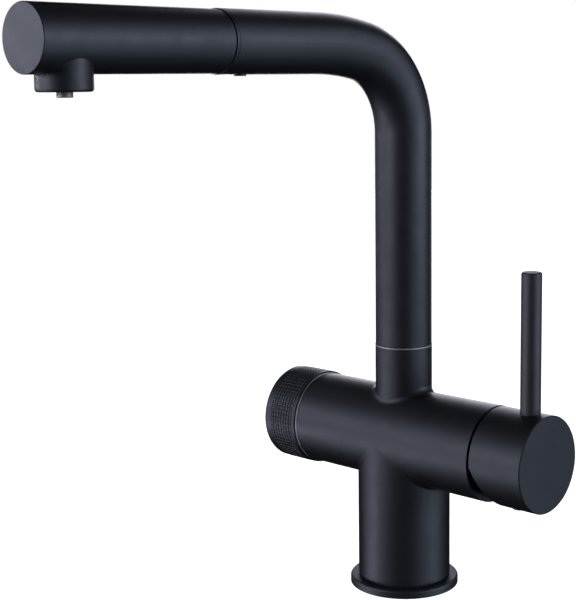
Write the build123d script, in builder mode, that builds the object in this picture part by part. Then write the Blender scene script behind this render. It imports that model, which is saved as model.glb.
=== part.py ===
from build123d import *
import math
import os

os.makedirs("parts", exist_ok=True)

# Three-way kitchen mixer with a pull-out spout end.
# Millimetres. +Z up, Z is the axis of the column, z = 0 is the worktop surface.
# The spout points to -Y, the mixing lever is at +X, the filtered-water knob at -X.

# ------------------------------------------------------------ driving dimensions
# column, valve barrel and neck
COL_R = 24.6            # column radius
COL_Z0 = 4.6            # underside of the column, above the shadow gap
AXIS_Z = 81.3           # height of the valve barrel's axis
BARREL_R = 24.7
BARREL_X0 = -56.8       # knob end
BARREL_X1 = 60.9        # lever end
NECK_R = 15.05
NECK_TOP = 129.9
NECK_FILLET = 3.6
TEE_FILLET = 1.6

# flange and fixing under the worktop
FLANGE_R = 29.0
FLANGE_H = 4.2
SHANK_R = 17.0          # thread crest radius, for a 35 mm tap hole
SHANK_RI = 15.4
SHANK_Z0 = -48.0
THREAD_Z1 = -12.0       # the shank is plain above this, where it passes the worktop
THREAD_PITCH = 1.5
THREAD_DEPTH = 0.8
DECK_T = 30.0           # worktop thickness the clamp is drawn at

# water ports in the underside of the column
PORT_PCR = 11.1         # radius of the circle the ports sit on
PORT_R = 3.5            # tapping radius of an 8 mm fine thread
PORT_Z0 = 18.0
PORT_Z1 = 30.0

# swivel joint
SPIGOT_R = 11.4
SPIGOT_BORE = 7.0
SWIVEL_BORE = 11.47     # running clearance of 0.07 on the spigot
HOSE_BORE = 6.3

# spout tube
TUBE_R = 14.9
TUBE_RI = 13.3
TUBE_Z0 = 130.6
TUBE_AXIS_Z = 287.7     # axis height of the horizontal run
TUBE_Y1 = -128.6        # end of the fixed tube
DOCK_SCREW_Y = -115.6   # screw that holds the docking collar
BEND_R = 43.0           # main bend
LEAD_R = 160.0          # slack lead-in bend beside the horizontal run
LEAD_DEG = 11.0
HOSE_R = 5.6
HOSE_Z0 = -62.0         # lower end of the hose, in its coupling

# pull-out head
HEAD_Y0 = -130.7
HEAD_Y1 = -232.25
HEAD_R = 14.45
HEAD_RI = 12.6
BOSS_Y = -213.05        # outlet axis
BOSS_R = 12.0
BOSS_Z0 = 266.2
BOSS_RI = 10.2
NOZZLE_R = 3.4
NOZZLE_Z0 = 263.9

# lever side
CAP_X0 = 61.9           # rear face of the lever cap
CAP_X1 = 92.5           # outer face
CAP_R = 24.55
PIVOT_X = 57.0          # tilt axis
BEVEL_DEG = 24.0        # relief under the cap, clears 20 degrees of tilt
LEVER_X = 81.8
PLUG_X = 75.7           # screw and plug under the cap
PLUG_R = 3.6
LEVER_R = 5.15
LEVER_TOP = 176.2
STEM_R = 3.0

# filter knob
KNOB_X0 = -57.5
KNOB_X1 = -80.8
KNOB_R = 25.85
RIM_R = 25.75           # smooth hub and outer rim of the knob
KNURL_DEPTH = 0.32
KNURL_ROWS = 8
KNURL_COUNT = 72

# bend geometry: the vertical run turns by 90 - LEAD_DEG, then by LEAD_DEG
lead_t = LEAD_R * math.tan(math.radians(LEAD_DEG / 2))
main_t = BEND_R * math.tan(math.radians((90 - LEAD_DEG) / 2))
knee = lead_t + main_t + 0.5
KNEE_Y = -knee * math.cos(math.radians(LEAD_DEG))
KNEE_Z = TUBE_AXIS_Z - knee * math.sin(math.radians(LEAD_DEG))

barrel_axis = Axis((0, 0, AXIS_Z), (1, 0, 0))
head_axis = Axis((0, 0, TUBE_AXIS_Z), (0, 1, 0))


def thread_points(r_root_side, r, z0, z1, pitch, depth):
    """Outline of a tube wall whose outer side carries ring-shaped thread crests."""
    pts = [(r_root_side, z0), (r - depth, z0)]
    z = z0
    while z + pitch <= z1 + 1e-6:
        pts += [(r - depth, z + 0.15 * pitch), (r, z + 0.45 * pitch),
                (r, z + 0.6 * pitch), (r - depth, z + 0.9 * pitch)]
        z += pitch
    return pts, z


# ============================================================ fixed body
# ------------------------------------------------------------ body casting
with BuildPart() as body_casting:
    with BuildSketch(Plane.XY.offset(COL_Z0)):
        Circle(COL_R)
    extrude(amount=AXIS_Z - COL_Z0)
    with BuildSketch(Plane.YZ.offset(BARREL_X0)):
        with Locations((0, AXIS_Z)):
            Circle(BARREL_R)
    extrude(amount=BARREL_X1 - BARREL_X0)
    # soft inside corner where the column runs into the barrel
    tee = body_casting.edges().filter_by(
        lambda e: e.center().Z < AXIS_Z - 1 and e.center().Z > COL_Z0 + 5
        and abs(e.center().X) < COL_R + 1
        and e.geom_type not in (GeomType.LINE, GeomType.CIRCLE))
    fillet(tee, TEE_FILLET)
    # neck above the barrel
    with BuildSketch(Plane.XY.offset(AXIS_Z)):
        Circle(NECK_R)
    extrude(amount=NECK_TOP - AXIS_Z)
    collar = body_casting.edges().filter_by(
        lambda e: e.center().Z > AXIS_Z + 15 and e.center().Z < NECK_TOP - 5
        and abs(e.center().X) < NECK_R + 1
        and e.geom_type not in (GeomType.LINE, GeomType.CIRCLE))
    fillet(collar, NECK_FILLET)
    # broken outer edges at the barrel ends and the column foot
    ends = body_casting.edges().filter_by(GeomType.CIRCLE).filter_by(
        lambda e: abs(e.radius - BARREL_R) < 0.01
        and (abs(e.center().X - BARREL_X0) < 0.01 or abs(e.center().X - BARREL_X1) < 0.01))
    fillet(ends, 0.35)
    foot = body_casting.edges().filter_by(GeomType.CIRCLE).filter_by(
        lambda e: abs(e.radius - COL_R) < 0.01 and abs(e.center().Z - COL_Z0) < 0.01)
    fillet(foot, 0.6)
    # cartridge bore and the wider thread bore for its ring nut
    with BuildSketch(Plane.YZ.offset(23.5)):
        with Locations((0, AXIS_Z)):
            Circle(17.5)
    extrude(amount=BARREL_X1, mode=Mode.SUBTRACT)
    with BuildSketch(Plane.YZ.offset(51.9)):
        with Locations((0, AXIS_Z)):
            Circle(20.8)
    extrude(amount=BARREL_X1, mode=Mode.SUBTRACT)
    # filter valve bore and the recess behind the knob
    with BuildSketch(Plane.YZ.offset(-18.0)):
        with Locations((0, AXIS_Z)):
            Circle(11.0)
    extrude(amount=-60, mode=Mode.SUBTRACT)
    with BuildSketch(Plane.YZ.offset(-46.0)):
        with Locations((0, AXIS_Z)):
            Circle(20.5)
    extrude(amount=-60, mode=Mode.SUBTRACT)
    # hose way through the whole height, swivel bore in the neck, shank bore
    with BuildSketch(Plane.XY):
        Circle(HOSE_BORE)
    extrude(amount=200, mode=Mode.SUBTRACT)
    with BuildSketch(Plane.XY.offset(103.5)):
        Circle(SWIVEL_BORE)
    extrude(amount=60, mode=Mode.SUBTRACT)
    with BuildSketch(Plane.XY):
        Circle(SHANK_R + 0.05)
    extrude(amount=PORT_Z0, mode=Mode.SUBTRACT)
    # five water ports round the hose way, each going on as a narrow channel
    with BuildSketch(Plane.XY.offset(PORT_Z0 - 1)):
        with PolarLocations(PORT_PCR, 5, start_angle=18):
            Circle(PORT_R)
    extrude(amount=PORT_Z1 - PORT_Z0 + 1, mode=Mode.SUBTRACT)
    with BuildSketch(Plane.XY.offset(PORT_Z1 - 0.5)):
        with PolarLocations(PORT_PCR, 5, start_angle=18):
            Circle(1.8)
    extrude(amount=AXIS_Z - PORT_Z1 + 1.3, mode=Mode.SUBTRACT)
    # cross channels from the ports to the two valve bores
    p = [(PORT_PCR * math.cos(math.radians(18 + 72 * i)),
          PORT_PCR * math.sin(math.radians(18 + 72 * i))) for i in range(5)]
    for i in (0, 1, 4):
        with BuildSketch(Plane.YZ.offset(p[i][0])):
            with Locations((p[i][1], AXIS_Z - 1.5)):
                Circle(1.5)
        extrude(amount=24.5 - p[i][0], mode=Mode.SUBTRACT)
    for i in (2, 3):
        with BuildSketch(Plane.YZ.offset(p[i][0])):
            with Locations((p[i][1], AXIS_Z - 1.5)):
                Circle(1.5)
        extrude(amount=-(19.0 + p[i][0]), mode=Mode.SUBTRACT)
    # radial hole at the back of the neck for the swivel retaining screw
    with BuildSketch(Plane.XZ.offset(-9.0)):
        with Locations((0, 112.0)):
            Circle(2.5)
    extrude(amount=-10, mode=Mode.SUBTRACT)
body_casting.part.label = "body_casting"
export_step(body_casting.part, "parts/body_casting.step")

# ------------------------------------------------------------ deck flange
with BuildPart() as deck_flange:
    with BuildSketch():
        Circle(FLANGE_R)
        Circle(SHANK_R + 0.35, mode=Mode.SUBTRACT)
    extrude(amount=FLANGE_H)
    rim = deck_flange.edges().filter_by(GeomType.CIRCLE).filter_by(
        lambda e: abs(e.radius - FLANGE_R) < 0.01 and e.center().Z > 1)
    fillet(rim, 1.2)
    with BuildSketch():
        Circle(25.6)
        Circle(22.0, mode=Mode.SUBTRACT)
    extrude(amount=1.6, mode=Mode.SUBTRACT)
deck_flange.part.label = "deck_flange"
export_step(deck_flange.part, "parts/deck_flange.step")

# ------------------------------------------------------------ seal in the flange's underside
with BuildPart() as deck_seal:
    with BuildSketch():
        Circle(25.5)
        Circle(22.1, mode=Mode.SUBTRACT)
    extrude(amount=1.6)
deck_seal.part.label = "deck_seal"
export_step(deck_seal.part, "parts/deck_seal.step")

# ------------------------------------------------------------ ring that makes the shadow gap
with BuildPart() as column_seal:
    with BuildSketch(Plane.XY.offset(FLANGE_H)):
        Circle(COL_R - 1.1)
        Circle(SHANK_R + 0.35, mode=Mode.SUBTRACT)
    extrude(amount=COL_Z0 - FLANGE_H)
column_seal.part.label = "column_seal"
export_step(column_seal.part, "parts/column_seal.step")

# ------------------------------------------------------------ threaded shank
with BuildPart() as mount_shank:
    outline, z_end = thread_points(SHANK_RI, SHANK_R, SHANK_Z0, THREAD_Z1 - 0.8, THREAD_PITCH, THREAD_DEPTH)
    outline += [(SHANK_R - THREAD_DEPTH, THREAD_Z1 - 0.8), (SHANK_R, THREAD_Z1),
                (SHANK_R, PORT_Z0 - 0.1), (SHANK_RI, PORT_Z0 - 0.1)]
    with BuildSketch(Plane.XZ):
        with BuildLine():
            Polyline(*outline, close=True)
        make_face()
    revolve(axis=Axis.Z)
mount_shank.part.label = "mount_shank"
export_step(mount_shank.part, "parts/mount_shank.step")

# ------------------------------------------------------------ clamp under the worktop
with BuildPart() as clamp_gasket:
    with BuildSketch(Plane.XY.offset(-DECK_T - 3.0)):
        Circle(27.5)
        Circle(SHANK_R + 0.4, mode=Mode.SUBTRACT)
    extrude(amount=3.0)
    fillet(clamp_gasket.edges().filter_by(GeomType.CIRCLE).filter_by(
        lambda e: abs(e.radius - 27.5) < 0.01), 0.5)
clamp_gasket.part.label = "clamp_gasket"
export_step(clamp_gasket.part, "parts/clamp_gasket.step")

with BuildPart() as clamp_washer:
    with BuildSketch(Plane.XY.offset(-DECK_T - 5.0)):
        Circle(28.0)
        Circle(SHANK_R + 0.4, mode=Mode.SUBTRACT)
    extrude(amount=2.0)
    chamfer(clamp_washer.edges().filter_by(GeomType.CIRCLE).filter_by(
        lambda e: abs(e.radius - 28.0) < 0.01), 0.3)
clamp_washer.part.label = "clamp_washer"
export_step(clamp_washer.part, "parts/clamp_washer.step")

with BuildPart() as clamp_nut:
    with BuildSketch(Plane.XY.offset(-DECK_T - 14.0)):
        RegularPolygon(26.2, 6)
        Circle(SHANK_R + 0.05, mode=Mode.SUBTRACT)
    extrude(amount=9.0)
    # round off the six corners on the lower side
    with BuildSketch(Plane.XZ):
        with BuildLine():
            Polyline((23.2, -DECK_T - 14.1), (27.5, -DECK_T - 14.1), (27.5, -DECK_T - 11.4), close=True)
        make_face()
    revolve(axis=Axis.Z, mode=Mode.SUBTRACT)
clamp_nut.part.label = "clamp_nut"
export_step(clamp_nut.part, "parts/clamp_nut.step")

# ------------------------------------------------------------ bright ring under the swivelling spout
with BuildPart() as neck_ring:
    with BuildSketch(Plane.XY.offset(NECK_TOP)):
        Circle(NECK_R + 0.12)
        Circle(SPIGOT_R + 0.2, mode=Mode.SUBTRACT)
    extrude(amount=0.55)
    fillet(neck_ring.edges().filter_by(GeomType.CIRCLE).filter_by(
        lambda e: abs(e.radius - NECK_R - 0.12) < 0.01), 0.12)
neck_ring.part.label = "neck_ring"
export_step(neck_ring.part, "parts/neck_ring.step")

# ------------------------------------------------------------ swivel retaining screw, at the back
with BuildPart() as neck_screw:
    with BuildSketch(Plane.XZ.offset(-10.5)):
        with Locations((0, 112.0)):
            Circle(2.45)
    extrude(amount=-4.2)
    with BuildSketch(Plane.XZ.offset(-14.7)):
        with Locations((0, 112.0)):
            RegularPolygon(1.35, 6)
    extrude(amount=2.2, mode=Mode.SUBTRACT)
neck_screw.part.label = "neck_screw"
export_step(neck_screw.part, "parts/neck_screw.step")

# ------------------------------------------------------------ bright ring beside the knob
with BuildPart() as knob_ring:
    with BuildSketch(Plane.YZ.offset(BARREL_X0)):
        with Locations((0, AXIS_Z)):
            Circle(BARREL_R + 0.25)
            Circle(18.0, mode=Mode.SUBTRACT)
    extrude(amount=-0.5)
    with BuildSketch(Plane.YZ.offset(BARREL_X0)):
        with Locations((0, AXIS_Z)):
            Circle(20.4)
            Circle(18.0, mode=Mode.SUBTRACT)
    extrude(amount=3.0)
knob_ring.part.label = "knob_ring"
export_step(knob_ring.part, "parts/knob_ring.step")

# ============================================================ mixing cartridge
# ------------------------------------------------------------ base seals of the cartridge
with BuildPart() as cartridge_seal:
    with BuildSketch(Plane.YZ.offset(23.5)):
        with Locations((0, AXIS_Z)):
            Circle(17.2)
            with PolarLocations(10.2, 3, start_angle=90):
                Circle(4.2, mode=Mode.SUBTRACT)
    extrude(amount=1.0)
cartridge_seal.part.label = "cartridge_seal"
export_step(cartridge_seal.part, "parts/cartridge_seal.step")

# ------------------------------------------------------------ housing: cup with a stepped neck
with BuildPart() as cartridge_housing:
    with BuildSketch(Plane.XY):
        with BuildLine():
            Polyline((24.5, 0), (24.5, 17.4), (52.0, 17.4), (52.0, 13.5), (58.4, 13.5),
                     (58.4, 9.6), (46.9, 9.6), (46.9, 14.0), (27.0, 14.0), (27.0, 0), close=True)
        make_face()
    revolve(axis=Axis.X)
    # three ports in the base
    with BuildSketch(Plane.YZ.offset(24.0)):
        with PolarLocations(8.6, 3, start_angle=90):
            Circle(3.2)
    extrude(amount=4, mode=Mode.SUBTRACT)
cartridge_housing.part = Pos(0, 0, AXIS_Z) * cartridge_housing.part
cartridge_housing.part.label = "cartridge_housing"
export_step(cartridge_housing.part, "parts/cartridge_housing.step")

# ------------------------------------------------------------ lower ceramic disc
with BuildPart() as cartridge_fixed_disc:
    with BuildSketch(Plane.YZ.offset(27.0)):
        with Locations((0, AXIS_Z)):
            Circle(13.9)
            with PolarLocations(8.6, 3, start_angle=90):
                Circle(2.6, mode=Mode.SUBTRACT)
    extrude(amount=4.0)
cartridge_fixed_disc.part.label = "cartridge_fixed_disc"
export_step(cartridge_fixed_disc.part, "parts/cartridge_fixed_disc.step")

# ------------------------------------------------------------ slotted ring nut that holds the cartridge
with BuildPart() as cartridge_nut:
    with BuildSketch(Plane.YZ.offset(52.05)):
        with Locations((0, AXIS_Z)):
            Circle(20.7)
            Circle(13.6, mode=Mode.SUBTRACT)
    extrude(amount=5.9)
    with BuildSketch(Plane.YZ.offset(55.4)):
        with Locations((0, AXIS_Z)):
            with PolarLocations(20.7, 6):
                Rectangle(5.0, 4.0)
    extrude(amount=4.0, mode=Mode.SUBTRACT)
cartridge_nut.part.label = "cartridge_nut"
export_step(cartridge_nut.part, "parts/cartridge_nut.step")

# ------------------------------------------------------------ rotor: turns for temperature, carries the tilt pin
with BuildPart() as cartridge_rotor:
    with BuildSketch(Plane.YZ.offset(47.0)):
        with Locations((0, AXIS_Z)):
            Circle(9.53)
            Rectangle(6.6, 15.2, mode=Mode.SUBTRACT)
    extrude(amount=16.0)
    with BuildSketch(Plane.XZ.offset(-12)):
        with Locations((PIVOT_X, AXIS_Z)):
            Circle(1.25)
    extrude(amount=24, mode=Mode.SUBTRACT)
cartridge_rotor.part.label = "cartridge_rotor"
export_step(cartridge_rotor.part, "parts/cartridge_rotor.step")

with BuildPart() as cartridge_pin:
    with BuildSketch(Plane.XZ.offset(-8.6)):
        with Locations((PIVOT_X, AXIS_Z)):
            Circle(1.25)
    extrude(amount=17.2)
cartridge_pin.part.label = "cartridge_pin"
export_step(cartridge_pin.part, "parts/cartridge_pin.step")

# ------------------------------------------------------------ sliding disc and its carrier
with BuildPart() as cartridge_moving_disc:
    with BuildSketch(Plane.YZ.offset(31.02)):
        with Locations((0, AXIS_Z)):
            Circle(9.4)
    extrude(amount=3.9)
    with BuildSketch(Plane.YZ.offset(31.0)):
        with Locations((0, AXIS_Z + 1.0)):
            SlotOverall(9.0, 4.6, rotation=90)
    extrude(amount=2.2, mode=Mode.SUBTRACT)
cartridge_moving_disc.part.label = "cartridge_moving_disc"
export_step(cartridge_moving_disc.part, "parts/cartridge_moving_disc.step")

with BuildPart() as cartridge_carrier:
    with BuildSketch(Plane.YZ.offset(34.95)):
        with Locations((0, AXIS_Z)):
            Circle(9.2)
    extrude(amount=11.5)
    # pocket for the ball at the end of the stem
    with BuildSketch(Plane.YZ.offset(41.0)):
        with Locations((0, AXIS_Z)):
            Rectangle(5.4, 5.2)
    extrude(amount=10, mode=Mode.SUBTRACT)
cartridge_carrier.part.label = "cartridge_carrier"
export_step(cartridge_carrier.part, "parts/cartridge_carrier.step")

# ------------------------------------------------------------ tilting stem: ball, round shank, square end
with BuildPart() as cartridge_stem:
    with BuildSketch(Plane.YZ.offset(44.6)):
        with Locations((0, AXIS_Z)):
            Circle(2.0)
    extrude(amount=3.0)
    with BuildSketch(Plane.YZ.offset(47.4)):
        with Locations((0, AXIS_Z)):
            Circle(STEM_R)
    extrude(amount=14.0)
    with BuildSketch(Plane.YZ.offset(61.3)):
        with Locations((0, AXIS_Z)):
            Rectangle(6.2, 6.2)
    extrude(amount=17.6)
    chamfer(cartridge_stem.faces().sort_by(Axis.X)[-1].edges(), 0.4)
    with Locations((45.0, 0, AXIS_Z)):
        Sphere(2.45)
    with BuildSketch(Plane.XZ.offset(-12)):
        with Locations((PIVOT_X, AXIS_Z)):
            Circle(1.30)
    extrude(amount=24, mode=Mode.SUBTRACT)
cartridge_stem.part.label = "cartridge_stem"
export_step(cartridge_stem.part, "parts/cartridge_stem.step")

# ============================================================ lever
# ------------------------------------------------------------ handle cap
with BuildPart() as handle_cap:
    with BuildSketch(Plane.YZ.offset(CAP_X0)):
        with Locations((0, AXIS_Z)):
            Circle(CAP_R)
    extrude(amount=CAP_X1 - CAP_X0)
    face_edge = handle_cap.edges().filter_by(GeomType.CIRCLE).sort_by(Axis.X)[-1]
    chamfer(face_edge, 0.42)
    rear_edge = handle_cap.edges().filter_by(GeomType.CIRCLE).sort_by(Axis.X)[0]
    chamfer(rear_edge, 0.3)
    # hollow rear side that covers the ring nut and rotor
    with BuildSketch(Plane.YZ.offset(CAP_X0 - 1)):
        with Locations((0, AXIS_Z)):
            Circle(21.4)
    extrude(amount=12.6, mode=Mode.SUBTRACT)
    # lower half of the rear rim is cut back so that the cap can tilt
    with BuildSketch(Plane.XZ.offset(-30)):
        with BuildLine():
            Polyline((CAP_X0 - 2, AXIS_Z - 0.6), (CAP_X0, AXIS_Z - 0.6),
                     (CAP_X0 + 30 * math.tan(math.radians(BEVEL_DEG)), AXIS_Z - 0.6 - 30),
                     (CAP_X0 - 2, AXIS_Z - 0.6 - 30), close=True)
        make_face()
    extrude(amount=60, mode=Mode.SUBTRACT)
    # square socket for the stem
    with BuildSketch(Plane.YZ.offset(CAP_X0 + 11)):
        with Locations((0, AXIS_Z)):
            Rectangle(6.3, 6.3)
    extrude(amount=6.8, mode=Mode.SUBTRACT)
    # socket for the lever pin, from above
    with BuildSketch(Plane.XY.offset(AXIS_Z + 9.0)):
        with Locations((LEVER_X, 0)):
            Circle(LEVER_R + 0.02)
    extrude(amount=30, mode=Mode.SUBTRACT)
    # screw hole from below, to the stem
    with BuildSketch(Plane.XY.offset(AXIS_Z - 3.0)):
        with Locations((PLUG_X, 0)):
            Circle(2.05)
    extrude(amount=-30, mode=Mode.SUBTRACT)
    with BuildSketch(Plane.XY.offset(AXIS_Z - 21.6)):
        with Locations((PLUG_X, 0)):
            Circle(PLUG_R + 0.04)
    extrude(amount=-10, mode=Mode.SUBTRACT)
handle_cap.part.label = "handle_cap"
export_step(handle_cap.part, "parts/handle_cap.step")

# ------------------------------------------------------------ lever pin
with BuildPart() as lever_pin:
    with BuildSketch(Plane.XY.offset(AXIS_Z + 9.05)):
        with Locations((LEVER_X, 0)):
            Circle(LEVER_R)
    extrude(amount=LEVER_TOP - AXIS_Z - 9.05)
    fillet(lever_pin.edges().filter_by(GeomType.CIRCLE).sort_by(Axis.Z)[-1], 0.9)
    chamfer(lever_pin.edges().filter_by(GeomType.CIRCLE).sort_by(Axis.Z)[0], 0.5)
lever_pin.part.label = "lever_pin"
export_step(lever_pin.part, "parts/lever_pin.step")

# ------------------------------------------------------------ fixing screw and its plug under the cap
with BuildPart() as handle_screw:
    with BuildSketch(Plane.XY.offset(AXIS_Z - 3.15)):
        with Locations((PLUG_X, 0)):
            Circle(2.0)
    extrude(amount=-9.0)
    with BuildSketch(Plane.XY.offset(AXIS_Z - 12.15)):
        with Locations((PLUG_X, 0)):
            RegularPolygon(1.15, 6)
    extrude(amount=2.5, mode=Mode.SUBTRACT)
handle_screw.part.label = "handle_screw"
export_step(handle_screw.part, "parts/handle_screw.step")

with BuildPart() as handle_plug:
    with BuildSketch(Plane.XY.offset(AXIS_Z - 21.65)):
        with Locations((PLUG_X, 0)):
            Circle(PLUG_R)
    extrude(amount=-(CAP_R - 21.65 + 1.05))
    fillet(handle_plug.edges().filter_by(GeomType.CIRCLE).sort_by(Axis.Z)[0], 0.4)
handle_plug.part.label = "handle_plug"
export_step(handle_plug.part, "parts/handle_plug.step")

# ============================================================ filtered-water valve and knob
with BuildPart() as valve_seal:
    with BuildSketch(Plane.YZ.offset(-18.0)):
        with Locations((0, AXIS_Z)):
            Circle(7.9)
            Circle(3.2, mode=Mode.SUBTRACT)
    extrude(amount=-2.2)
valve_seal.part.label = "valve_seal"
export_step(valve_seal.part, "parts/valve_seal.step")

with BuildPart() as valve_headwork:
    with BuildSketch(Plane.XY):
        with BuildLine():
            Polyline((-18.5, 8.1), (-18.5, 10.4), (-40.0, 10.4), (-40.0, 10.9), (-46.1, 10.9),
                     (-46.1, 8.0), (-54.0, 8.0), (-54.0, 4.1), (-30.0, 4.1), (-30.0, 8.1), close=True)
        make_face()
    revolve(axis=Axis.X)
    with BuildSketch(Plane.YZ.offset(-46.1)):
        RegularPolygon(13.6, 6)
        Circle(7.5, mode=Mode.SUBTRACT)
    extrude(amount=-5.0)
    # two side windows where the water leaves
    with BuildSketch(Plane.XZ.offset(-12)):
        with Locations((-23.0, 0)):
            Circle(1.9)
    extrude(amount=24, mode=Mode.SUBTRACT)
valve_headwork.part = Pos(0, 0, AXIS_Z) * valve_headwork.part
valve_headwork.part.label = "valve_headwork"
export_step(valve_headwork.part, "parts/valve_headwork.step")

with BuildPart() as valve_fixed_disc:
    with BuildSketch(Plane.YZ.offset(-20.2)):
        with Locations((0, AXIS_Z)):
            Circle(7.9)
            with Locations((0, 3.6), (0, -3.6)):
                Circle(2.2, mode=Mode.SUBTRACT)
    extrude(amount=-2.9)
valve_fixed_disc.part.label = "valve_fixed_disc"
export_step(valve_fixed_disc.part, "parts/valve_fixed_disc.step")

with BuildPart() as valve_moving_disc:
    with BuildSketch(Plane.YZ.offset(-23.12)):
        with Locations((0, AXIS_Z)):
            Circle(7.8)
            with Locations((3.6, 0), (-3.6, 0)):
                Circle(2.2, mode=Mode.SUBTRACT)
    extrude(amount=-2.8)
valve_moving_disc.part.label = "valve_moving_disc"
export_step(valve_moving_disc.part, "parts/valve_moving_disc.step")

with BuildPart() as valve_spindle:
    with BuildSketch(Plane.XY):
        with BuildLine():
            Polyline((-25.95, 0), (-25.95, 7.8), (-29.6, 7.8), (-29.6, 4.04), (-71.5, 4.04),
                     (-72.0, 3.5), (-72.0, 0), close=True)
        make_face()
    revolve(axis=Axis.X)
    # splined end that carries the knob
    with BuildSketch(Plane.YZ.offset(-60.0)):
        with PolarLocations(4.04, 16):
            Circle(0.32)
    extrude(amount=-13, mode=Mode.SUBTRACT)
valve_spindle.part = Pos(0, 0, AXIS_Z) * valve_spindle.part
valve_spindle.part.label = "valve_spindle"
export_step(valve_spindle.part, "parts/valve_spindle.step")

# ------------------------------------------------------------ knob: body with a rim at its outer end
GRIP_X0 = -59.8
GRIP_X1 = -75.8
with BuildPart() as filter_knob:
    with BuildSketch(Plane.XY):
        with BuildLine():
            Polyline((KNOB_X0, 21.0), (KNOB_X0, RIM_R - 0.35), (KNOB_X0 - 0.35, RIM_R), (GRIP_X0 + 0.05, RIM_R),
                     (GRIP_X0 + 0.05, 23.4), (GRIP_X1 - 0.05, 23.4), (GRIP_X1 - 0.05, RIM_R),
                     (KNOB_X1 + 1.0, RIM_R), (KNOB_X1 + 0.3, RIM_R - 0.3), (KNOB_X1, RIM_R - 1.0),
                     (KNOB_X1, 0), (-72.6, 0),
                     (-72.6, 4.06), (-58.6, 4.06), (-58.6, 8.6), (-76.4, 8.6), (-76.4, 21.0), close=True)
        make_face()
    revolve(axis=Axis.X)
    # screw hole through the underside and the hub
    with BuildSketch(Plane.XY.offset(-4.0)):
        with Locations((-66.0, 0)):
            Circle(2.05)
    extrude(amount=-30, mode=Mode.SUBTRACT)
filter_knob.part = Pos(0, 0, AXIS_Z) * filter_knob.part
filter_knob.part.label = "filter_knob"
export_step(filter_knob.part, "parts/filter_knob.step")

# ------------------------------------------------------------ knurled sleeve on the knob
with BuildPart() as knob_grip:
    row = (GRIP_X0 - GRIP_X1) / KNURL_ROWS
    outline = [(GRIP_X1, 23.42), (GRIP_X0, 23.42)]
    for i in range(KNURL_ROWS):
        x = GRIP_X0 - i * row
        outline += [(x, KNOB_R - KNURL_DEPTH), (x - 0.36, KNOB_R), (x - row + 0.36, KNOB_R)]
    outline.append((GRIP_X1, KNOB_R - KNURL_DEPTH))
    with BuildSketch(Plane.XY):
        with BuildLine():
            Polyline(*outline, close=True)
        make_face()
    revolve(axis=Axis.X)
    with BuildSketch(Plane.YZ.offset(GRIP_X1 - 1)):
        with PolarLocations(KNOB_R - 0.22, KNURL_COUNT):
            Polygon((0, 0), (0.47, -0.7), (0.47, 0.7), align=None)
    extrude(amount=GRIP_X0 - GRIP_X1 + 2, mode=Mode.SUBTRACT)
    with BuildSketch(Plane.XY.offset(-4.5)):
        with Locations((-66.0, 0)):
            Circle(2.05)
    extrude(amount=-30, mode=Mode.SUBTRACT)
knob_grip.part = Pos(0, 0, AXIS_Z) * knob_grip.part
knob_grip.part.label = "knob_grip"
export_step(knob_grip.part, "parts/knob_grip.step")

with BuildPart() as knob_screw:
    with BuildSketch(Plane.XY.offset(AXIS_Z - 4.25)):
        with Locations((-66.0, 0)):
            Circle(2.0)
    extrude(amount=-4.3)
    with BuildSketch(Plane.XY.offset(AXIS_Z - 8.55)):
        with Locations((-66.0, 0)):
            RegularPolygon(1.15, 6)
    extrude(amount=2.0, mode=Mode.SUBTRACT)
knob_screw.part.label = "knob_screw"
export_step(knob_screw.part, "parts/knob_screw.step")

# ============================================================ swivelling spout
with BuildPart() as spout_tube:
    with BuildLine():
        FilletPolyline((0, 0, TUBE_Z0), (0, 0, KNEE_Z), (0, KNEE_Y, TUBE_AXIS_Z), (0, TUBE_Y1, TUBE_AXIS_Z),
                       radius=[BEND_R, LEAD_R])
    with BuildSketch(Plane.XY.offset(TUBE_Z0)):
        Circle(TUBE_R)
        Circle(TUBE_RI, mode=Mode.SUBTRACT)
    sweep()
    # hole for the collar screw, underneath
    with BuildSketch(Plane.XY.offset(TUBE_AXIS_Z - 10.0)):
        with Locations((0, DOCK_SCREW_Y)):
            Circle(2.95)
    extrude(amount=-10, mode=Mode.SUBTRACT)
    # very shallow relief underneath, between the screw and the seam
    with BuildSketch(Plane.YZ.offset(-20)):
        with Locations((-124.6, TUBE_AXIS_Z - TUBE_R - 62.0 + 0.25)):
            Circle(62.0)
    extrude(amount=40, mode=Mode.SUBTRACT)
spout_tube.part.label = "spout_tube"
export_step(spout_tube.part, "parts/spout_tube.step")

# ------------------------------------------------------------ brass spigot that turns in the neck
with BuildPart() as spout_spigot:
    with BuildSketch(Plane.XZ):
        with BuildLine():
            Polyline((SPIGOT_BORE, 104.2), (9.6, 104.2), (9.6, 107.8), (SPIGOT_R, 107.8),
                     (SPIGOT_R, 109.2), (9.8, 109.2), (9.8, 114.8), (SPIGOT_R, 114.8),
                     (SPIGOT_R, 116.4), (9.5, 116.4), (9.5, 118.7), (SPIGOT_R, 118.7),
                     (SPIGOT_R, 122.4), (9.5, 122.4), (9.5, 124.7), (SPIGOT_R, 124.7),
                     (SPIGOT_R, 130.6), (13.25, 130.6), (13.25, 146.0), (12.4, 146.8), (SPIGOT_BORE, 146.8),
                     close=True)
        make_face()
    revolve(axis=Axis.Z)
spout_spigot.part.label = "spout_spigot"
export_step(spout_spigot.part, "parts/spout_spigot.step")

with BuildPart() as spigot_oring_lower:
    with BuildSketch(Plane.XZ):
        with Locations((10.46, 117.55)):
            Circle(0.95)
    revolve(axis=Axis.Z)
spigot_oring_lower.part.label = "spigot_oring_lower"
export_step(spigot_oring_lower.part, "parts/spigot_oring_lower.step")

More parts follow.
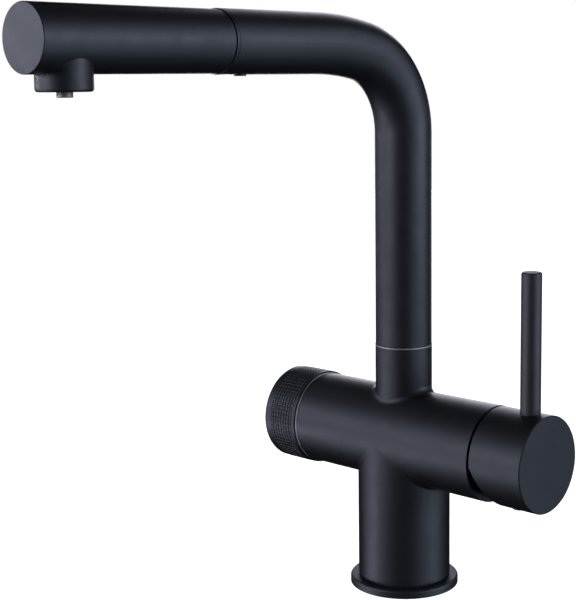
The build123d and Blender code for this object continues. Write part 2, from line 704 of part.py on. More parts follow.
with BuildPart() as spigot_oring_upper:
    with BuildSketch(Plane.XZ):
        with Locations((10.46, 123.55)):
            Circle(0.95)
    revolve(axis=Axis.Z)
spigot_oring_upper.part.label = "spigot_oring_upper"
export_step(spigot_oring_upper.part, "parts/spigot_oring_upper.step")

with BuildPart() as spigot_glide:
    with BuildSketch(Plane.XY.offset(104.25)):
        Circle(SPIGOT_R)
        Circle(9.62, mode=Mode.SUBTRACT)
    extrude(amount=3.5)
spigot_glide.part.label = "spigot_glide"
export_step(spigot_glide.part, "parts/spigot_glide.step")

# ------------------------------------------------------------ docking collar in the mouth of the tube
with BuildPart() as dock_collar:
    with BuildSketch(Plane.YZ):
        with BuildLine():
            Polyline((-104.0, 11.0), (-104.0, 12.6), (-105.0, 13.25), (TUBE_Y1 - 0.05, 13.25),
                     (TUBE_Y1 - 0.05, TUBE_R - 0.22), (TUBE_Y1 - 0.22, TUBE_R - 0.05), (-130.32, TUBE_R - 0.05),
                     (-130.5, TUBE_R - 0.23),
                     (-130.5, 10.6), (-129.8, 10.0), (-106.0, 10.0), close=True)
        make_face()
    revolve(axis=Axis.Y)
    with BuildSketch(Plane.XY.offset(-9.0)):
        with Locations((0, DOCK_SCREW_Y)):
            Circle(1.25)
    extrude(amount=-5, mode=Mode.SUBTRACT)
dock_collar.part = Pos(0, 0, TUBE_AXIS_Z) * dock_collar.part
dock_collar.part.label = "dock_collar"
export_step(dock_collar.part, "parts/dock_collar.step")

with BuildPart() as dock_screw:
    with BuildSketch(Plane.XY.offset(TUBE_AXIS_Z - 10.4)):
        with Locations((0, DOCK_SCREW_Y)):
            Circle(1.2)
    extrude(amount=-3.2)
    with BuildSketch(Plane.XY.offset(TUBE_AXIS_Z - 13.3)):
        with Locations((0, DOCK_SCREW_Y)):
            Circle(2.9)
    extrude(amount=-(TUBE_R + 0.6 - 13.3))
    fillet(dock_screw.edges().filter_by(GeomType.CIRCLE).sort_by(Axis.Z)[0], 0.55)
dock_screw.part.label = "dock_screw"
export_step(dock_screw.part, "parts/dock_screw.step")

# ------------------------------------------------------------ pull-out hose along its route inside the tap
HOSE_Y1 = -97.8
hose_pts = [(0, 0, HOSE_Z0), (0, 0, KNEE_Z), (0, KNEE_Y, TUBE_AXIS_Z), (0, HOSE_Y1, TUBE_AXIS_Z)]
with BuildPart() as pullout_hose:
    with BuildLine() as hose_path:
        FilletPolyline(*hose_pts, radius=[BEND_R, LEAD_R])
    with BuildSketch(Plane.XY.offset(HOSE_Z0)):
        Circle(HOSE_R)
    sweep()
pullout_hose.part.label = "pullout_hose"
export_step(pullout_hose.part, "parts/pullout_hose.step")
hose_len = sum(e.length for e in hose_path.edges())
print("hose radii", BEND_R, LEAD_R, "length", round(hose_len, 2), "volume", round(pullout_hose.part.volume, 1),
      "section x length", round(math.pi * HOSE_R ** 2 * hose_len, 1))

# ------------------------------------------------------------ coupling on the lower end of the hose
with BuildPart() as hose_coupling:
    with BuildSketch(Plane.XZ):
        with BuildLine():
            Polyline((0, HOSE_Z0 - 0.1), (HOSE_R + 0.05, HOSE_Z0 - 0.1), (HOSE_R + 0.05, -51.0), (6.2, -51.0),
                     (6.5, -51.5), (6.5, -54.0), (6.2, -54.4), (6.2, -55.6), (6.5, -56.0), (6.5, -61.5),
                     (6.9, -62.0), (6.9, -67.0), (6.5, -67.5), (4.4, -67.5), (4.4, -71.0), (3.5, -71.0),
                     (3.5, -73.0), (4.4, -73.0), (4.4, -75.5), (3.9, -76.0), (0, -76.0), close=True)
        make_face()
    revolve(axis=Axis.Z)
hose_coupling.part.label = "hose_coupling"
export_step(hose_coupling.part, "parts/hose_coupling.step")

# ============================================================ pull-out head
with BuildPart() as head_shell:
    with BuildSketch(Plane.XZ.offset(-HEAD_Y0)):
        with Locations((0, TUBE_AXIS_Z)):
            Circle(HEAD_R)
    extrude(amount=HEAD_Y0 - HEAD_Y1)
    face_edge = head_shell.edges().filter_by(GeomType.CIRCLE).sort_by(Axis.Y)[0]
    fillet(face_edge, 0.4)
    rear_edge = head_shell.edges().filter_by(GeomType.CIRCLE).sort_by(Axis.Y)[-1]
    chamfer(rear_edge, 0.12)
    # outlet boss
    with BuildSketch(Plane.XY.offset(BOSS_Z0)):
        with Locations((0, BOSS_Y)):
            Circle(BOSS_R)
    extrude(amount=TUBE_AXIS_Z - BOSS_Z0)
    boss_edge = head_shell.edges().filter_by(GeomType.CIRCLE).filter_by(
        lambda e: abs(e.radius - BOSS_R) < 0.01 and abs(e.center().Z - BOSS_Z0) < 0.01)
    fillet(boss_edge, 1.3)
    root = head_shell.edges().filter_by(
        lambda e: e.center().Z < TUBE_AXIS_Z - 4 and e.center().Z > BOSS_Z0 + 2
        and e.center().Y < BOSS_Y + BOSS_R + 1
        and e.geom_type not in (GeomType.LINE, GeomType.CIRCLE))
    fillet(root, 0.5)
    # hollow
    with BuildSketch(Plane.XZ.offset(-HEAD_Y0 - 1)):
        with Locations((0, TUBE_AXIS_Z)):
            Circle(HEAD_RI)
    extrude(amount=HEAD_Y0 - HEAD_Y1 - 2.6, mode=Mode.SUBTRACT)
    with BuildSketch(Plane.XY.offset(BOSS_Z0 - 1)):
        with Locations((0, BOSS_Y)):
            Circle(BOSS_RI)
    extrude(amount=TUBE_AXIS_Z - BOSS_Z0 + 1, mode=Mode.SUBTRACT)
head_shell.part.label = "head_shell"
export_step(head_shell.part, "parts/head_shell.step")

# ------------------------------------------------------------ docking plug that enters the collar
with BuildPart() as head_plug:
    with BuildSketch(Plane.YZ):
        with BuildLine():
            Polyline((-112.0, 6.6), (-112.0, 8.9), (-113.0, 9.7), (-131.1, 9.7), (-131.1, 12.5),
                     (-134.5, 12.5), (-134.5, 6.6), close=True)
        make_face()
    revolve(axis=Axis.Y)
    # four grip grooves along the plug
    with BuildSketch(Plane.XZ.offset(111.0)):
        with PolarLocations(9.9, 4, start_angle=45):
            Circle(0.8)
    extrude(amount=14, mode=Mode.SUBTRACT)
head_plug.part = Pos(0, 0, TUBE_AXIS_Z) * head_plug.part
head_plug.part.label = "head_plug"
export_step(head_plug.part, "parts/head_plug.step")

with BuildPart() as hose_nipple:
    with BuildSketch(Plane.YZ):
        with BuildLine():
            Polyline((-100.0, 2.9), (-100.0, 4.1), (-113.2, 4.1), (-113.2, 6.5), (-136.5, 6.5),
                     (-136.5, 2.9), close=True)
        make_face()
    revolve(axis=Axis.Y)
hose_nipple.part = Pos(0, 0, TUBE_AXIS_Z) * hose_nipple.part
hose_nipple.part.label = "hose_nipple"
export_step(hose_nipple.part, "parts/hose_nipple.step")

with BuildPart() as hose_ferrule:
    with BuildSketch(Plane.YZ):
        with BuildLine():
            Polyline((-98.0, 4.15), (-98.0, 6.0), (-98.6, 6.4), (-102.5, 6.4), (-103.0, 6.0), (-105.0, 6.0),
                     (-105.5, 6.4), (-109.0, 6.4), (-109.5, 6.0), (-113.1, 6.0), (-113.1, 4.15), close=True)
        make_face()
    revolve(axis=Axis.Y)
hose_ferrule.part = Pos(0, 0, TUBE_AXIS_Z) * hose_ferrule.part
hose_ferrule.part.label = "hose_ferrule"
export_step(hose_ferrule.part, "parts/hose_ferrule.step")

# ------------------------------------------------------------ waterway inside the head
with BuildPart() as head_waterway:
    with BuildSketch(Plane.XZ.offset(136.6)):
        with Locations((0, TUBE_AXIS_Z)):
            Circle(7.5)
    extrude(amount=-BOSS_Y - 136.6)
    with BuildSketch(Plane.XY.offset(276.0)):
        with Locations((0, BOSS_Y)):
            Circle(9.55)
    extrude(amount=19.3)
    with BuildSketch(Plane.XZ.offset(136.0)):
        with Locations((0, TUBE_AXIS_Z)):
            Circle(4.3)
    extrude(amount=-BOSS_Y - 136.0, mode=Mode.SUBTRACT)
    with BuildSketch(Plane.XY.offset(275.0)):
        with Locations((0, BOSS_Y)):
            Circle(7.6)
    extrude(amount=17.5, mode=Mode.SUBTRACT)
head_waterway.part.label = "head_waterway"
export_step(head_waterway.part, "parts/head_waterway.step")

# ------------------------------------------------------------ aerator: perforated cup and mesh disc
with BuildPart() as aerator_cup:
    with BuildSketch(Plane.XY.offset(266.8)):
        with Locations((0, BOSS_Y)):
            Circle(10.1)
    extrude(amount=9.1)
    with BuildSketch(Plane.XY.offset(269.2)):
        with Locations((0, BOSS_Y)):
            Circle(9.0)
    extrude(amount=10, mode=Mode.SUBTRACT)
    with BuildSketch(Plane.XY.offset(266.0)):
        with Locations((0, BOSS_Y)):
            Circle(NOZZLE_R + 0.02)
            with PolarLocations(5.1, 12):
                Circle(0.75)
            with PolarLocations(7.6, 18, start_angle=10):
                Circle(0.75)
    extrude(amount=5, mode=Mode.SUBTRACT)
aerator_cup.part.label = "aerator_cup"
export_step(aerator_cup.part, "parts/aerator_cup.step")

with BuildPart() as aerator_screen:
    with BuildSketch(Plane.XY.offset(270.4)):
        with Locations((0, BOSS_Y)):
            Circle(8.9)
            Circle(NOZZLE_R + 0.05, mode=Mode.SUBTRACT)
            with PolarLocations(4.7, 16):
                Circle(0.45, mode=Mode.SUBTRACT)
            with PolarLocations(6.3, 22):
                Circle(0.45, mode=Mode.SUBTRACT)
            with PolarLocations(7.8, 28):
                Circle(0.45, mode=Mode.SUBTRACT)
    extrude(amount=0.6)
aerator_screen.part.label = "aerator_screen"
export_step(aerator_screen.part, "parts/aerator_screen.step")

# ------------------------------------------------------------ bright nozzle for the filtered water
with BuildPart() as filter_nozzle:
    with BuildSketch(Plane.XZ):
        with BuildLine():
            Polyline((2.1, NOZZLE_Z0 + 0.3), (2.4, NOZZLE_Z0), (3.15, NOZZLE_Z0), (NOZZLE_R, NOZZLE_Z0 + 0.3),
                     (NOZZLE_R, 276.2), (5.2, 276.2), (5.2, 278.6), (2.1, 278.6), close=True)
        make_face()
    revolve(axis=Axis.Z)
filter_nozzle.part = Pos(0, BOSS_Y, 0) * filter_nozzle.part
filter_nozzle.part.label = "filter_nozzle"
export_step(filter_nozzle.part, "parts/filter_nozzle.step")
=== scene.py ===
import bpy
import bmesh
import math
from mathutils import Matrix, Vector


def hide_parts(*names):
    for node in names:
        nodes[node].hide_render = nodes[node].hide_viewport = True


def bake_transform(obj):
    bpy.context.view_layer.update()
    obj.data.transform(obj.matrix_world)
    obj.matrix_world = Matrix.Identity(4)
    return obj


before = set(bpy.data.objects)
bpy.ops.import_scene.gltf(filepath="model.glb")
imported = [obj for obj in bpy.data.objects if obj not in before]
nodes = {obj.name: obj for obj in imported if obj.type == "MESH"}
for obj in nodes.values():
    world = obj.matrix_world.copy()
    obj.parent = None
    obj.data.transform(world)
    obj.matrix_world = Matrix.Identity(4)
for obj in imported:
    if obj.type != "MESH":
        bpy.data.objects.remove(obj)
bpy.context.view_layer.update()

# ---------------------------------------------------------------- lengths repeated from the model, in metres
AXIS_Z = 0.0813
TUBE_Z = 0.2877
BOSS_Y = -0.21305


# ================================================================ node helpers
class Graph:
    """Small helper to write shader graphs in one line a node."""

    def __init__(self, name):
        self.mat = bpy.data.materials.new(name)
        self.mat.use_nodes = True
        self.nt = self.mat.node_tree
        self.nt.nodes.clear()
        self.out = self.nt.nodes.new("ShaderNodeOutputMaterial")
        self.bsdf = self.nt.nodes.new("ShaderNodeBsdfPrincipled")
        self.nt.links.new(self.bsdf.outputs["BSDF"], self.out.inputs["Surface"])
        self.coord = self.nt.nodes.new("ShaderNodeTexCoord").outputs["Object"]
        self.normal = None

    def set(self, **values):
        for key, value in values.items():
            self.bsdf.inputs[key.replace("_", " ")].default_value = value

    def node(self, kind, inputs=(), **attrs):
        n = self.nt.nodes.new(kind)
        for k, v in attrs.items():
            setattr(n, k, v)
        for key, value in dict(inputs).items():
            sock = n.inputs[key]
            if isinstance(value, bpy.types.NodeSocket):
                self.nt.links.new(value, sock)
            else:
                sock.default_value = value
        return n

    def math(self, op, a, b=0.0, c=0.0, clamp=False):
        return self.node("ShaderNodeMath", {0: a, 1: b, 2: c}, operation=op, use_clamp=clamp).outputs[0]

    def xyz(self, vector=None):
        s = self.node("ShaderNodeSeparateXYZ", {0: vector or self.coord})
        return s.outputs[0], s.outputs[1], s.outputs[2]

    def pack(self, x, y, z):
        return self.node("ShaderNodeCombineXYZ", {0: x, 1: y, 2: z}).outputs[0]

    def noise(self, scale, detail=2.0, rough=0.5, vector=None, dims="3D"):
        ins = {"Vector": vector or self.coord, "Scale": scale, "Detail": detail, "Roughness": rough}
        return self.node("ShaderNodeTexNoise", ins, noise_dimensions=dims).outputs["Fac"]

    def voronoi(self, scale, vector=None, feature="F1", out="Distance"):
        return self.node("ShaderNodeTexVoronoi", {"Vector": vector or self.coord, "Scale": scale},
                         feature=feature).outputs[out]

    def span(self, value, lo, hi, a=0.0, b=1.0):
        return self.node("ShaderNodeMapRange", {0: value, 1: a, 2: b, 3: lo, 4: hi}).outputs[0]

    def mix(self, fac, a, b):
        n = self.node("ShaderNodeMix", data_type="RGBA")
        ins = [s for s in n.inputs if s.type == "RGBA"]
        fac_in = n.inputs[0]
        if isinstance(fac, bpy.types.NodeSocket):
            self.nt.links.new(fac, fac_in)
        else:
            fac_in.default_value = fac
        for sock, value in zip(ins, (a, b)):
            if isinstance(value, bpy.types.NodeSocket):
                self.nt.links.new(value, sock)
            else:
                sock.default_value = (*value, 1.0)
        return [s for s in n.outputs if s.type == "RGBA"][0]

    def bump(self, height, distance, strength=1.0):
        ins = {"Height": height, "Distance": distance, "Strength": strength}
        if self.normal is not None:
            ins["Normal"] = self.normal
        self.normal = self.node("ShaderNodeBump", ins).outputs["Normal"]

    def link(self, socket, key):
        self.nt.links.new(socket, self.bsdf.inputs[key])

    def done(self):
        if self.normal is not None:
            self.nt.links.new(self.normal, self.bsdf.inputs["Normal"])
        return self.mat


# ================================================================ materials
def powder_coat(name, base=(0.0038, 0.0041, 0.0054), rough=0.53, grain=1.0, gloss=0.27):
    """Matte black powder coat: fine grain over a soft orange peel, cool tint."""
    g = Graph(name)
    broad = g.noise(38.0, 3.0)
    lo = tuple(c * 0.86 for c in base)
    hi = tuple(c * 1.16 for c in base)
    speck = g.span(g.noise(5200.0, 1.0), 0.0, 1.0, 0.64, 0.74)
    tone = g.mix(g.span(broad, 0.0, 1.0, 0.3, 0.7), lo, hi)
    tone = g.mix(g.math("MULTIPLY", speck, 0.35), tone, tuple(c * 2.2 for c in base))
    g.link(tone, "Base Color")
    # the coat turns glossier where it is seen at a low angle
    facing = g.node("ShaderNodeLayerWeight", {"Blend": 0.5}).outputs["Facing"]
    graze = g.span(facing, 0.0, gloss, 0.42, 0.86)
    flat = g.math("ADD", g.span(g.noise(120.0, 4.0), rough - 0.03, rough + 0.03, 0.3, 0.7),
                  g.math("MULTIPLY", speck, 0.05))
    g.link(g.math("SUBTRACT", flat, graze), "Roughness")
    g.set(Specular_Tint=(0.775, 0.825, 1.0, 1.0), Specular_IOR_Level=0.5)
    g.bump(g.noise(420.0, 1.5), 0.00002, 0.25 * grain)
    g.bump(g.noise(2600.0, 3.0, 0.6), 0.00001, 0.5 * grain)
    return g.done()


def turned(name, axis, centre, colour, rough, metallic=1.0, lines=9000.0, depth=0.000004, tint=0.08):
    """Machined metal: fine rings round the axis, with a little tarnish."""
    g = Graph(name)
    x, y, z = g.xyz()
    p = {"X": x, "Y": y, "Z": z}
    along = p[axis]
    others = [(p[k], centre[i]) for i, k in enumerate("XYZ") if k != axis]
    d2 = None
    for s, c in others:
        d = g.math("SUBTRACT", s, c)
        d = g.math("MULTIPLY", d, d)
        d2 = d if d2 is None else g.math("ADD", d2, d)
    r = g.math("SQRT", d2)
    rings = g.noise(lines, 2.0, 0.6, g.pack(r, 0.0, along))
    tarnish = g.noise(160.0, 4.0)
    dark = tuple(c * (1 - 2.2 * tint) for c in colour)
    g.link(g.mix(g.span(tarnish, 0.0, 1.0, 0.35, 0.75), colour, dark), "Base Color")
    g.link(g.math("ADD", g.span(rings, rough - 0.06, rough + 0.07, 0.3, 0.7),
                  g.span(tarnish, 0.0, 0.06, 0.4, 0.8)), "Roughness")
    g.set(Metallic=metallic)
    g.bump(rings, depth, 0.6)
    return g.done()


def moulded(name, colour, rough=0.5, grain=1600.0, depth=0.00001):
    """Moulded plastic with fine spark-eroded grain."""
    g = Graph(name)
    n = g.noise(grain, 3.0, 0.55)
    broad = g.noise(60.0, 2.0)
    lo = tuple(c * 0.93 for c in colour)
    g.link(g.mix(g.span(broad, 0.0, 1.0, 0.35, 0.65), lo, colour), "Base Color")
    g.link(g.span(n, rough - 0.05, rough + 0.06, 0.3, 0.7), "Roughness")
    g.bump(n, depth, 0.5)
    return g.done()


def rubber(name, colour=(0.018, 0.018, 0.019)):
    g = Graph(name)
    n = g.noise(900.0, 5.0, 0.65)
    dust = g.span(g.noise(240.0, 4.0), 0.0, 0.5, 0.5, 0.8)
    g.link(g.mix(dust, colour, tuple(c * 1.9 for c in colour)), "Base Color")
    g.link(g.span(n, 0.62, 0.8, 0.3, 0.7), "Roughness")
    g.set(Specular_IOR_Level=0.35)
    g.bump(n, 0.00002, 0.5)
    return g.done()


def ceramic(name):
    g = Graph(name)
    fleck = g.span(g.voronoi(1400.0), 0.0, 1.0, 0.08, 0.3)
    g.link(g.mix(fleck, (0.66, 0.64, 0.58), (0.83, 0.82, 0.78)), "Base Color")
    g.link(g.span(g.noise(300.0, 3.0), 0.14, 0.24, 0.3, 0.7), "Roughness")
    g.set(Coat_Weight=0.2, Coat_Roughness=0.06)
    g.bump(g.noise(500.0, 2.0), 0.000003, 0.4)
    return g.done()


def braid(name, axis, centre):
    """Nylon braid: two opposite sets of strands round a round hose, in bundles of three threads."""
    g = Graph(name)
    x, y, z = g.xyz()
    p = {"X": x, "Y": y, "Z": z}
    along = p[axis]
    (a, ca), (b, cb) = [(p[k], centre[i]) for i, k in enumerate("XYZ") if k != axis]
    angle = g.math("ARCTAN2", g.math("SUBTRACT", b, cb), g.math("SUBTRACT", a, ca))
    turns = g.math("MULTIPLY", angle, 12 / (2 * math.pi))
    pitch = g.math("MULTIPLY", along, 1 / 0.0034)
    one = g.math("ADD", turns, pitch)
    two = g.math("SUBTRACT", turns, pitch)
    # which set lies on top swaps from cell to cell
    check = g.math("MODULO", g.math("ADD", g.math("FLOOR", g.math("ADD", one, 600.0)),
                                    g.math("FLOOR", g.math("ADD", two, 600.0))), 2.0)
    f1 = g.math("FRACT", g.math("ADD", one, 600.0))
    f2 = g.math("FRACT", g.math("ADD", two, 600.0))
    h1 = g.math("SINE", g.math("MULTIPLY", f1, math.pi))
    h2 = g.math("SINE", g.math("MULTIPLY", f2, math.pi))
    t1 = g.math("ABSOLUTE", g.math("SINE", g.math("MULTIPLY", f1, 3 * math.pi)))
    t2 = g.math("ABSOLUTE", g.math("SINE", g.math("MULTIPLY", f2, 3 * math.pi)))
    top1 = g.math("MULTIPLY", h2, t1)
    top2 = g.math("MULTIPLY", h1, t2)
    height = g.math("ADD", g.math("MULTIPLY", top1, check),
                    g.math("MULTIPLY", top2, g.math("SUBTRACT", 1.0, check)))
    fibre = g.noise(4200.0, 3.0)
    # painted shade: the braid is painted near black in the hollows between and under the strands and lighter grey
    # on their crests, following the weave height
    tone = g.mix(g.span(height, 0.0, 1.0, 0.1, 0.8), (0.018, 0.018, 0.02), (0.11, 0.112, 0.12))
    tone = g.mix(g.math("MULTIPLY", fibre, 0.25), tone, (0.2, 0.2, 0.21))
    g.link(tone, "Base Color")
    g.link(g.span(fibre, 0.42, 0.62, 0.3, 0.7), "Roughness")
    g.bump(height, 0.00035, 0.8)
    g.bump(fibre, 0.00003, 0.4)
    return g.done()


def wire_gauze(name):
    """Woven steel gauze of the aerator, seen from below."""
    g = Graph(name)
    x, y, z = g.xyz()
    k = 2 * math.pi / 0.0007
    sx = g.math("SINE", g.math("MULTIPLY", x, k))
    sy = g.math("SINE", g.math("MULTIPLY", y, k))
    wires = g.math("MAXIMUM", sx, sy)
    weave = g.math("MULTIPLY", g.math("SINE", g.math("MULTIPLY", x, k / 2)),
                   g.math("SINE", g.math("MULTIPLY", y, k / 2)))
    height = g.math("ADD", wires, g.math("MULTIPLY", weave, 0.3))
    # painted shade: the openings between the wires are painted near black for the shade seen through them, and the
    # wires keep their own steel grey
    g.link(g.mix(g.span(wires, 0.0, 1.0, -0.3, 0.5), (0.02, 0.02, 0.022), (0.52, 0.53, 0.54)), "Base Color")
    g.link(g.span(g.noise(900.0, 2.0), 0.28, 0.42, 0.3, 0.7), "Roughness")
    g.set(Metallic=0.9)
    g.bump(height, 0.00018, 0.8)
    return g.done()


def gasket_rubber(name):
    """Moulded rubber with a faint grid of non-slip ribs."""
    g = Graph(name)
    x, y, z = g.xyz()
    k = 2 * math.pi / 0.0022
    ribs = g.math("MULTIPLY", g.math("SINE", g.math("MULTIPLY", g.math("ADD", x, y), k)),
                  g.math("SINE", g.math("MULTIPLY", g.math("SUBTRACT", x, y), k)))
    n = g.noise(900.0, 5.0, 0.65)
    g.link(g.mix(g.span(n, 0.0, 1.0, 0.4, 0.7), (0.016, 0.016, 0.017), (0.03, 0.03, 0.031)), "Base Color")
    g.link(g.span(n, 0.6, 0.8, 0.3, 0.7), "Roughness")
    g.bump(ribs, 0.00015, 0.4)
    g.bump(n, 0.00002, 0.5)
    return g.done()


COAT = powder_coat("coat_black")
COAT_KNURL = powder_coat("coat_knurl", grain=0.6)
COAT_FLANGE = powder_coat("coat_flange", gloss=0.08)
COAT_PIN = powder_coat("coat_pin", base=(0.0182, 0.0180, 0.0198), rough=0.53, grain=0.8, gloss=0.04)
BLACK_PLASTIC = moulded("plastic_black", (0.014, 0.0145, 0.016), 0.45)
GREY_PLASTIC = moulded("plastic_grey", (0.30, 0.31, 0.32), 0.42)
WHITE_PLASTIC = moulded("plastic_white", (0.72, 0.72, 0.69), 0.40)
RUBBER = rubber("rubber_black")
GASKET = gasket_rubber("rubber_gasket")
CERAMIC = ceramic("ceramic_lapped")
GAUZE = wire_gauze("gauze_steel")

STEEL = (0.56, 0.57, 0.58)
BRASS = (0.72, 0.50, 0.22)
SILVER = (0.34, 0.34, 0.35)

MATERIALS = {
    "body_casting": COAT, "deck_flange": COAT_FLANGE, "spout_tube": COAT, "head_shell": COAT, "handle_cap": COAT,
    "lever_pin": COAT_PIN, "filter_knob": COAT, "knob_grip": COAT_KNURL,
    "deck_seal": RUBBER, "column_seal": RUBBER, "clamp_gasket": GASKET,
    "mount_shank": turned("brass_shank", "Z", (0, 0, 0), BRASS, 0.30),
    "clamp_nut": turned("brass_nut", "Z", (0, 0, 0), BRASS, 0.36),
    "clamp_washer": turned("steel_washer", "Z", (0, 0, 0), STEEL, 0.34),
    "neck_ring": turned("silver_neck_ring", "Z", (0, 0, 0), SILVER, 0.55, metallic=0.6, tint=0.03),
    "neck_screw": turned("steel_neck_screw", "Y", (0, 0, 0.112), STEEL, 0.3),
    "knob_ring": turned("silver_knob_ring", "X", (0, 0, AXIS_Z), (0.44, 0.47, 0.52), 0.5, metallic=0.6, tint=0.03),
    "cartridge_seal": RUBBER, "cartridge_housing": GREY_PLASTIC, "cartridge_fixed_disc": CERAMIC,
    "cartridge_nut": COAT,
    "valve_seal": RUBBER, "valve_fixed_disc": CERAMIC,
    "valve_headwork": turned("brass_headwork", "X", (0, 0, AXIS_Z), BRASS, 0.32),
    "spout_spigot": turned("brass_spigot", "Z", (0, 0, 0), BRASS, 0.28),
    "spigot_oring_lower": RUBBER, "spigot_oring_upper": RUBBER, "spigot_glide": WHITE_PLASTIC,
    "dock_collar": COAT,
    "dock_screw": COAT_PIN,
    "hose_coupling": turned("brass_coupling", "Z", (0, 0, 0), BRASS, 0.28),
    "head_plug": BLACK_PLASTIC,
    "hose_nipple": turned("brass_nipple", "Y", (0, 0, TUBE_Z), BRASS, 0.28),
    "hose_ferrule": turned("steel_ferrule", "Y", (0, 0, TUBE_Z), STEEL, 0.25),
    "head_waterway": WHITE_PLASTIC, "aerator_cup": BLACK_PLASTIC, "aerator_screen": GAUZE,
    "filter_nozzle": turned("satin_nozzle", "Z", (0, BOSS_Y, 0), (0.165, 0.165, 0.17), 0.56, metallic=0.8,
                            depth=0.000001, tint=0.03),
    "cartridge_rotor": WHITE_PLASTIC,
    "cartridge_pin": turned("steel_pin", "Y", (0.057, 0, AXIS_Z), STEEL, 0.25),
    "cartridge_moving_disc": CERAMIC, "cartridge_carrier": WHITE_PLASTIC,
    "cartridge_stem": turned("brass_stem", "X", (0, 0, AXIS_Z), BRASS, 0.3),
    "handle_screw": turned("steel_handle_screw", "Z", (0.0775, 0, 0), STEEL, 0.35),
    "handle_plug": BLACK_PLASTIC,
    "knob_screw": turned("steel_knob_screw", "Z", (-0.065, 0, 0), STEEL, 0.35),
    "valve_spindle": turned("brass_spindle", "X", (0, 0, AXIS_Z), BRASS, 0.28),
    "valve_moving_disc": CERAMIC,
}
for node_name, material in MATERIALS.items():
    mesh = nodes[node_name].data
    if len(mesh.materials) == 0:
        mesh.materials.append(material)
    for i in range(len(mesh.materials)):
        mesh.materials[i] = material

# ================================================================ the pull-out hose
# its line is one smooth curve up the column, round the bend and along the level run
HOSE_POINTS = [(0, 0, -0.0620), (0, 0, 0.060), (0, 0, 0.180), (0, 0, 0.2300), (0, -0.0010, 0.2560),
               (0, -0.0070, 0.2720), (0, -0.0180, 0.2812), (0, -0.0330, 0.2853), (0, -0.0480, 0.2870),
               (0, -0.0600, 0.2877), (0, -0.0800, 0.2877), (0, -0.0978, 0.2877)]
HOSE_R = 0.0056


def nurbs_line(points, name):
    """Points along a smooth spline that has these control points."""
    curve = bpy.data.curves.new(name, "CURVE")
    curve.dimensions = "3D"
    curve.resolution_u = 16
    spline = curve.splines.new("NURBS")
    spline.points.add(len(points) - 1)
    for p, c in zip(spline.points, points):
        p.co = (*c, 1.0)
    spline.order_u = 3
    spline.use_endpoint_u = True
    spline.resolution_u = 16
    obj = bpy.data.objects.new(name, curve)
    bpy.context.scene.collection.objects.link(obj)
    bpy.context.view_layer.update()
    mesh = bpy.data.meshes.new_from_object(obj)
    line = [v.co.copy() for v in mesh.vertices]
    bpy.data.objects.remove(obj)
    bpy.data.meshes.remove(mesh)
    return line


def tube_along(line, radius, sides, name, material_of):
    bm = bmesh.new()
    rings = []
    side = Vector((1, 0, 0))
    for i, c in enumerate(line):
        a = line[max(i - 1, 0)]
        b = line[min(i + 1, len(line) - 1)]
        t = (b - a).normalized()
        u = (side - t * side.dot(t)).normalized()
        w = t.cross(u)
        rings.append([bm.verts.new(c + (u * math.cos(q) + w * math.sin(q)) * radius)
                      for q in (2 * math.pi * k / sides for k in range(sides))])
    for i in range(len(rings) - 1):
        for k in range(sides):
            f = bm.faces.new((rings[i][k], rings[i][(k + 1) % sides],
                              rings[i + 1][(k + 1) % sides], rings[i + 1][k]))
            f.smooth = True
            f.material_index = material_of((line[i] + line[i + 1]) / 2)
    bm.faces.new(list(reversed(rings[0])))
    bm.faces.new(rings[-1])
    bmesh.ops.recalc_face_normals(bm, faces=bm.faces)
    mesh = bpy.data.meshes.new(name)
    bm.to_mesh(mesh)
    bm.free()
    obj = bpy.data.objects.new(name, mesh)
    bpy.context.scene.collection.objects.link(obj)
    return obj


hose_line = nurbs_line(HOSE_POINTS, "hose_route")
hose = tube_along(hose_line, HOSE_R, 32, "hose_braided", lambda c: 1 if c.y < -0.035 else 0)
hose.data.materials.append(braid("braid_rising", "Z", (0, 0, 0)))
hose.data.materials.append(braid("braid_level", "Y", (0, 0, TUBE_Z)))
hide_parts("pullout_hose")
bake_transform(hose)

# ================================================================ studio
floor_mesh = bpy.data.meshes.new("floor")
bm = bmesh.new()
bmesh.ops.create_grid(bm, x_segments=4, y_segments=4, size=6.0)
bm.to_mesh(floor_mesh)
bm.free()
floor = bpy.data.objects.new("floor", floor_mesh)
floor.location = (0, 0, -0.0001)
bpy.context.scene.collection.objects.link(floor)
fg = Graph("floor_pale")
fg.link(fg.mix(fg.span(fg.noise(3.0, 2.0), 0.0, 1.0, 0.3, 0.7), (0.86, 0.86, 0.86), (0.90, 0.90, 0.90)),
        "Base Color")
fg.set(Roughness=0.9, Specular_IOR_Level=0.1)
fg.bsdf.inputs["Emission Color"].default_value = (1, 1, 1, 1)
fg.bsdf.inputs["Emission Strength"].default_value = 1.0
floor.data.materials.append(fg.done())
floor.visible_glossy = False
floor.visible_diffuse = False
floor.visible_shadow = False


def softbox(name, azimuth, elevation, power, width=0.42, distance=1.6, colour=(0.885, 0.90, 1.0),
            aim=(0, -0.05, 0.16)):
    """A round soft light that looks at the tap; azimuth 0 is the side the spout points to."""
    light = bpy.data.lights.new(name, "AREA")
    light.shape = "DISK"
    light.size = width
    light.energy = power
    light.color = colour
    obj = bpy.data.objects.new(name, light)
    a, e = math.radians(azimuth), math.radians(elevation)
    back = Vector((math.sin(a) * math.cos(e), -math.cos(a) * math.cos(e), math.sin(e)))
    obj.location = Vector(aim) + back * distance
    obj.rotation_mode = "QUATERNION"
    obj.rotation_quaternion = (-back).to_track_quat("-Z", "Y")
    bpy.context.scene.collection.objects.link(obj)
    obj.visible_camera = False
    return obj


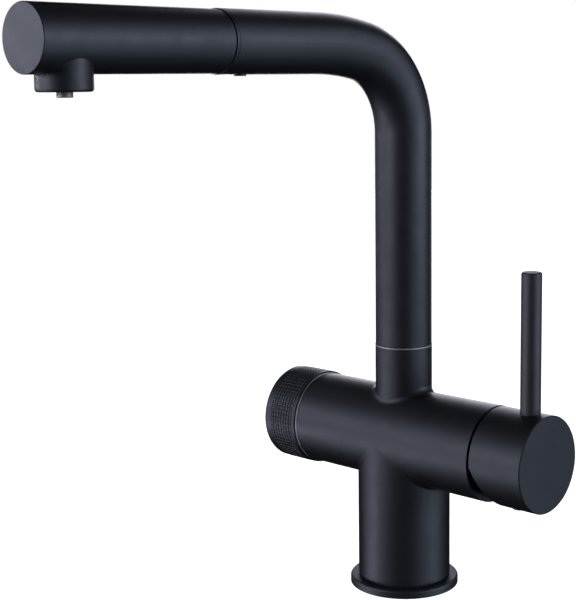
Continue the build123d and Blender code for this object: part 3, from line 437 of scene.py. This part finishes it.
# left bank, its glow from the pale floor, the cooler right bank and its glow, and weak fill from behind,
# with a wide pale backdrop and two weak edge lights that draw the outlines
COOL = (0.84, 0.885, 1.0)
softbox("left_front", -15, 9, 14.8, colour=(0.875, 0.88, 0.90))
softbox("left_side", -60, 9, 7.4, colour=(0.835, 0.85, 1.0))
softbox("left_low", -45, -25, 8.6)
softbox("right_main", 120, 9, 12.6, colour=COOL)
softbox("right_near", 90, -8, 4.4, colour=(0.80, 0.93, 1.0))
softbox("right_low", 120, -25, 4.2, colour=(0.74, 0.92, 1.0))
softbox("right_high", 140, 28, 3.0, colour=COOL)
softbox("rear_left", -150, 28, 1.8, width=0.7)
softbox("left_high", -100, 28, 0.4)
softbox("backdrop", -136, 5, 10.5, width=1.6, distance=2.6)
softbox("edge_left", -94, -3, 0.45, width=0.7)
softbox("edge_right", 188, -3, 0.3, width=0.6)

world = bpy.data.worlds.new("studio")
world.use_nodes = True
bpy.context.scene.world = world
wt = world.node_tree
wt.nodes.clear()
w_out = wt.nodes.new("ShaderNodeOutputWorld")
w_env = wt.nodes.new("ShaderNodeBackground")
w_env.inputs["Color"].default_value = (0.9, 0.94, 1.0, 1.0)
w_env.inputs["Strength"].default_value = 0.015
w_cam = wt.nodes.new("ShaderNodeBackground")
w_cam.inputs["Color"].default_value = (1, 1, 1, 1)
w_cam.inputs["Strength"].default_value = 1.0
w_mix = wt.nodes.new("ShaderNodeMixShader")
w_path = wt.nodes.new("ShaderNodeLightPath")
wt.links.new(w_path.outputs["Is Camera Ray"], w_mix.inputs[0])
wt.links.new(w_env.outputs[0], w_mix.inputs[1])
wt.links.new(w_cam.outputs[0], w_mix.inputs[2])
wt.links.new(w_mix.outputs[0], w_out.inputs["Surface"])

scene = bpy.context.scene
scene.view_settings.view_transform = "Standard"
scene.view_settings.look = "None"
scene.view_settings.exposure = 0.0
scene.view_settings.gamma = 1.0

# ================================================================ camera at the photograph's angle
AZ, EL, ROLL = math.radians(42.673), math.radians(7.147), math.radians(0.464)
DIST, TX, TZ = 0.720077, -0.031762, 0.181514
FOCAL_PX, CX, CY = 1364.148, 343.259, 248.709
back = Vector((math.sin(AZ) * math.cos(EL), -math.cos(AZ) * math.cos(EL), math.sin(EL)))
right = Vector((math.cos(AZ), math.sin(AZ), 0))
down = (-back).cross(right)
cam_x = right * math.cos(ROLL) + down * math.sin(ROLL)
cam_down = -right * math.sin(ROLL) + down * math.cos(ROLL)
cam_data = bpy.data.cameras.new("camera")
cam_data.sensor_fit = "AUTO"
cam_data.sensor_width = 36.0
cam_data.lens = FOCAL_PX / 600.0 * 36.0
cam_data.shift_x = (288.0 - CX) / 600.0
cam_data.shift_y = (CY - 300.0) / 600.0
cam_data.clip_start = 0.05
cam_data.clip_end = 50.0
camera = bpy.data.objects.new("camera", cam_data)
where = Vector((0, 0, TZ)) + back * DIST + right * TX
camera.matrix_world = Matrix((
    (cam_x.x, -cam_down.x, back.x, where.x),
    (cam_x.y, -cam_down.y, back.y, where.y),
    (cam_x.z, -cam_down.z, back.z, where.z),
    (0, 0, 0, 1)))
scene.collection.objects.link(camera)
scene.camera = camera

bpy.context.view_layer.update()
